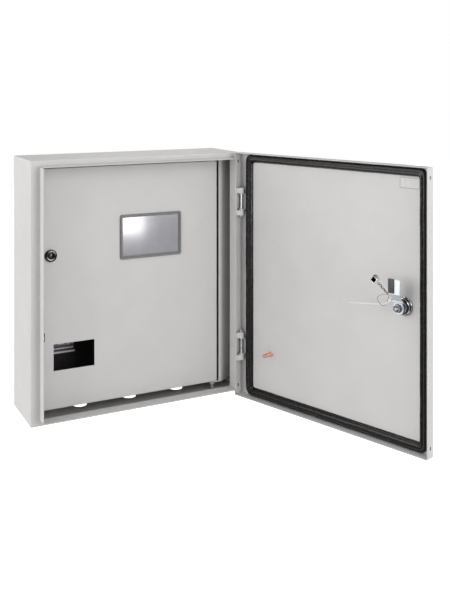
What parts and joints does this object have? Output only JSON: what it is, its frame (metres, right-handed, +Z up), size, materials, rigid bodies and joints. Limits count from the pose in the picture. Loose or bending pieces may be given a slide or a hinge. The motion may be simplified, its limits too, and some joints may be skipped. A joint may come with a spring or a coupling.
{
  "type": "wall control cabinet",
  "caption": "Light grey sheet-steel wall cabinet for a fire alarm panel, with a gasketed outer door, a hinged inner front plate with a window and module cut-out, and turning locks.",
  "frame": {"origin": "centre of the rear face, on the wall", "axes": "+Z up, +X to the right seen from the front, +Y into the wall"},
  "size_m": [0.5317, 0.5082, 0.452],
  "materials": {
    "powder_coat": "light grey textured powder coat",
    "zinc": "bright zinc plate",
    "black_plate": "black coated sheet",
    "foam": "black foamed polyurethane with a glossy skin",
    "copper": "copper plated steel",
    "lock_chrome": "chrome plated die-casting",
    "tongue_steel": "bright zinc plate",
    "black_nylon": "dark grey polyamide",
    "rubber": "black rubber",
    "clear_nylon": "natural translucent nylon",
    "white_nylon": "white polyamide",
    "key_wire": "twisted binding wire",
    "key_metal": "nickel plated die-casting",
    "window_plastic": "grey moulded plastic",
    "pane": "silver-grey polycarbonate",
    "data_plate": "blank embossed plate"
  },
  "bodies": {
    "cabinet": {"cabinet_shell": "powder_coat", "rear_panel": "powder_coat", "board_studs": "zinc", "board_spacers": "zinc", "mounting_plate": "black_plate", "board_nuts": "zinc", "din_rail": "zinc", "rail_screws": "zinc", "inner_door_post": "powder_coat", "lock_side_strip": "powder_coat", "pivot_screws": "zinc", "pivot_nuts": "zinc", "hinge_brackets": "powder_coat", "hinge_pins": "zinc", "hinge_rivets": "zinc", "cabinet_earth_stud": "zinc", "cabinet_earth_nut": "zinc"},
    "outer_door": {"outer_door_panel": "powder_coat", "door_edge_plugs": "black_nylon", "door_gasket": "foam", "hinge_cradles": "powder_coat", "data_plate": "data_plate", "door_earth_stud": "copper", "lock_housing": "lock_chrome", "lock_seal": "rubber", "lock_nut": "lock_chrome"},
    "lock_tongue": {"lock_spindle": "lock_chrome", "lock_tongue": "tongue_steel", "tongue_pad": "black_nylon", "tongue_nut": "lock_chrome", "cable_tie": "clear_nylon"},
    "key": {"key_wire": "key_wire", "key_bit": "key_metal"},
    "inner_door": {"inner_door_panel": "powder_coat", "pivot_bushes": "white_nylon", "window_bezel": "window_plastic", "window_pane": "pane", "window_clip_frame": "window_plastic", "inner_lock_housing": "lock_chrome", "inner_lock_nut": "lock_chrome"},
    "inner_lock": {"inner_lock_spindle": "lock_chrome", "inner_lock_cam": "tongue_steel", "inner_cam_screw": "lock_chrome"}
  },
  "joints": [
    {"name": "outer_door_hinge", "type": "hinge", "parent": "cabinet", "child": "outer_door", "pos_m": [0.1928, -0.1333, 0], "axis": [0, 0, 1], "range_deg": [-109.2, 0]},
    {"name": "inner_door_hinge", "type": "hinge", "parent": "cabinet", "child": "inner_door", "pos_m": [0.1535, -0.09, 0], "axis": [0, 0, 1], "range_deg": [0, 95]},
    {"name": "lock_turn", "type": "hinge", "parent": "outer_door", "child": "lock_tongue", "pos_m": [0.29552, -0.46052, 0], "axis": [-0.9444, -0.3289, 0], "range_deg": [-90, 0]},
    {"name": "inner_lock_turn", "type": "hinge", "parent": "inner_door", "child": "inner_lock", "pos_m": [-0.1613, -0.09, 0.0585], "axis": [0, 1, 0], "range_deg": [-90, 0]},
    {"name": "key_swing", "type": "hinge", "parent": "lock_tongue", "child": "key", "pos_m": [0.2834, -0.44091, 0.0034], "axis": [-0.3257, 0.9354, -0.1379], "range_deg": [-170, 0]}
  ]
}
